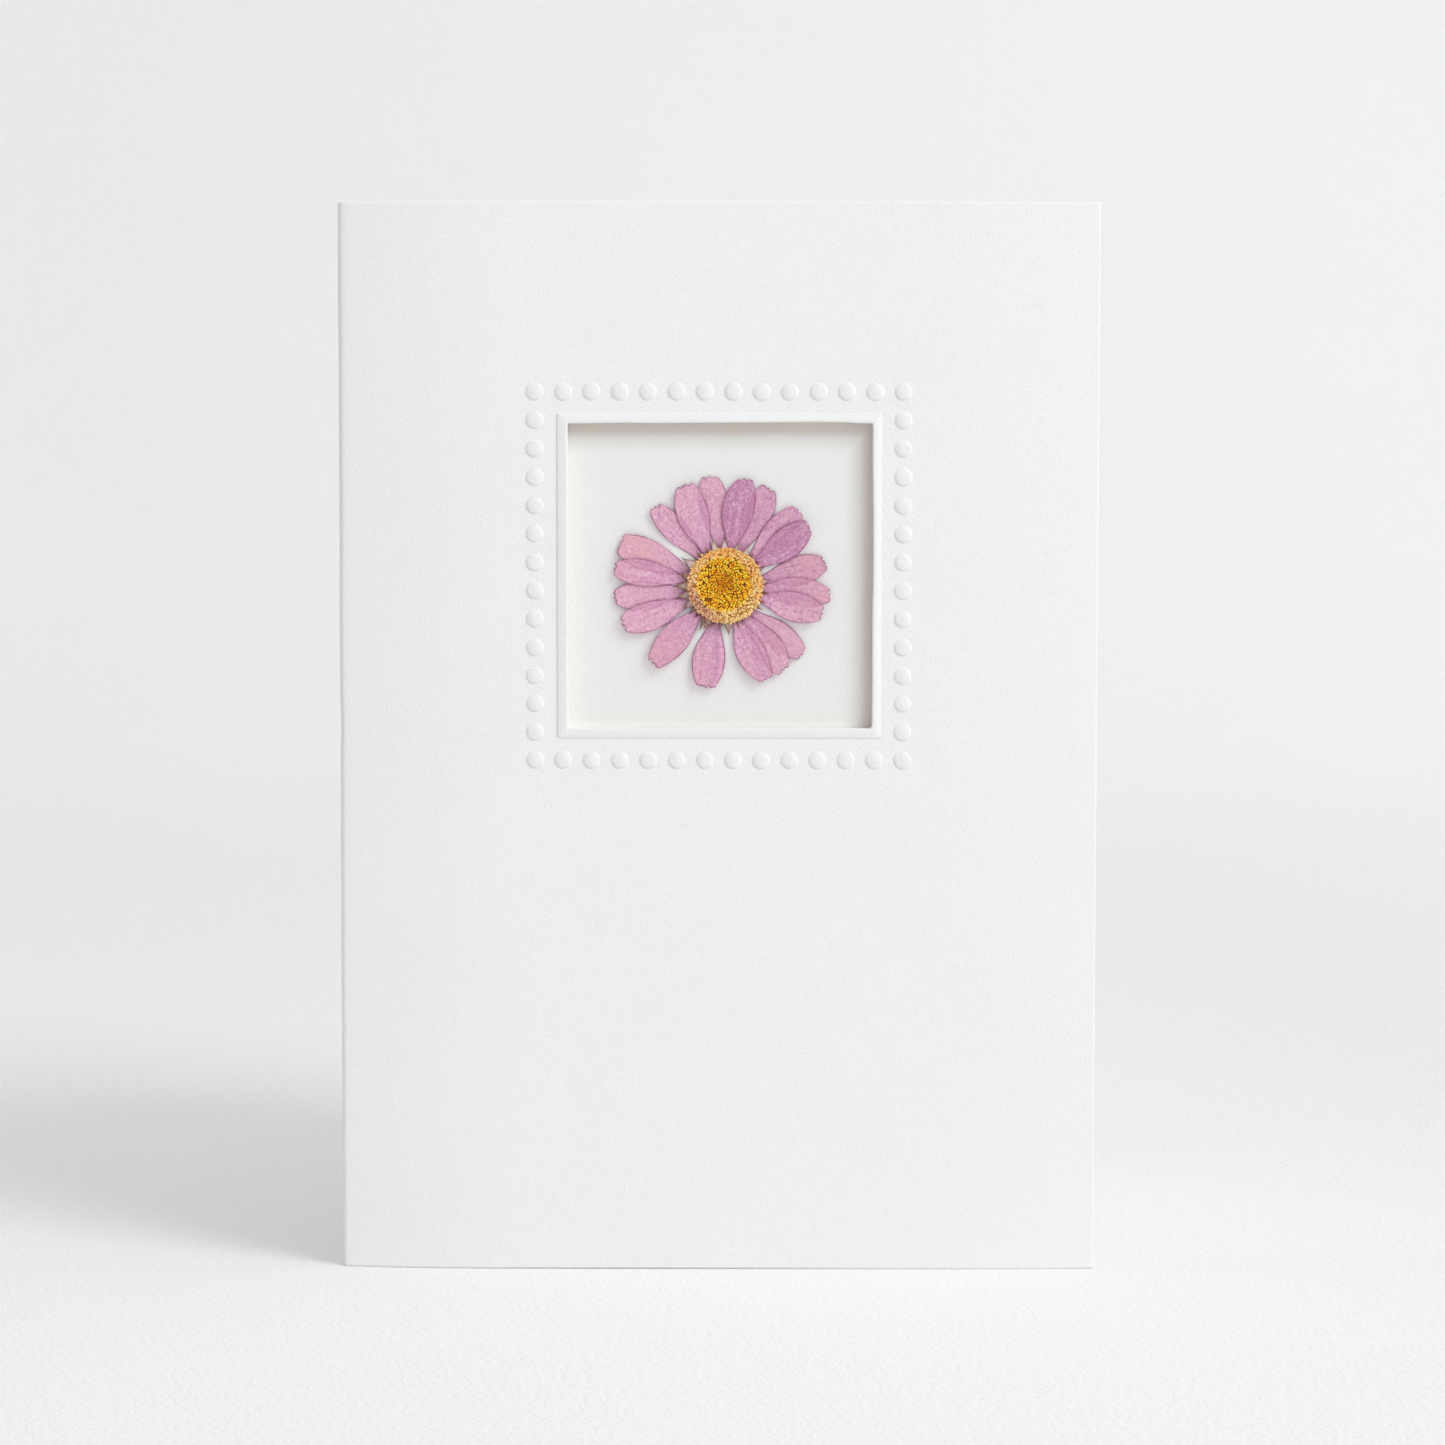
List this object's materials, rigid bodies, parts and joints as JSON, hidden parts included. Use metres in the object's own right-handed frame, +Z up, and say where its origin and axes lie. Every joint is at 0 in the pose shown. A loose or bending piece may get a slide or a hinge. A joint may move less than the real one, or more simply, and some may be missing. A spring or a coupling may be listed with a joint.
{
  "type": "greeting card",
  "caption": "Folded greeting card that stands open, with a square embossed window framing a pressed daisy on a white backing.",
  "frame": {"origin": "middle of the card's bounding box, on the surface that it stands on", "axes": "+X from the fold towards the front panel's free edge, +Y from the front panel towards the back panel, +Z up"},
  "size_m": [0.105, 0.0708, 0.148],
  "materials": {
    "card_stock": "matte",
    "backing_paper": "matte",
    "tape": "matte",
    "glue": "gloss",
    "petal": "matte",
    "petal_deep": "matte",
    "bract": "matte",
    "floret": "matte"
  },
  "bodies": {
    "root": {"folded_card": "card_stock", "window_backing": "backing_paper", "tape_left": "tape", "tape_right": "tape", "tape_bottom": "tape", "tape_top": "tape", "glue_dab": "glue", "petal_01": "petal", "petal_02": "petal_deep", "petal_03": "petal", "petal_04": "petal", "petal_05": "petal_deep", "petal_06": "petal", "petal_07": "petal", "petal_08": "petal", "petal_09": "petal", "petal_10": "petal", "petal_11": "petal", "petal_12": "petal", "petal_13": "petal", "petal_14": "petal", "petal_15": "petal", "petal_16": "petal", "petal_17": "petal", "petal_18": "petal", "petal_19": "petal", "bracts": "bract", "flower_disc": "floret"}
  },
  "joints": []
}
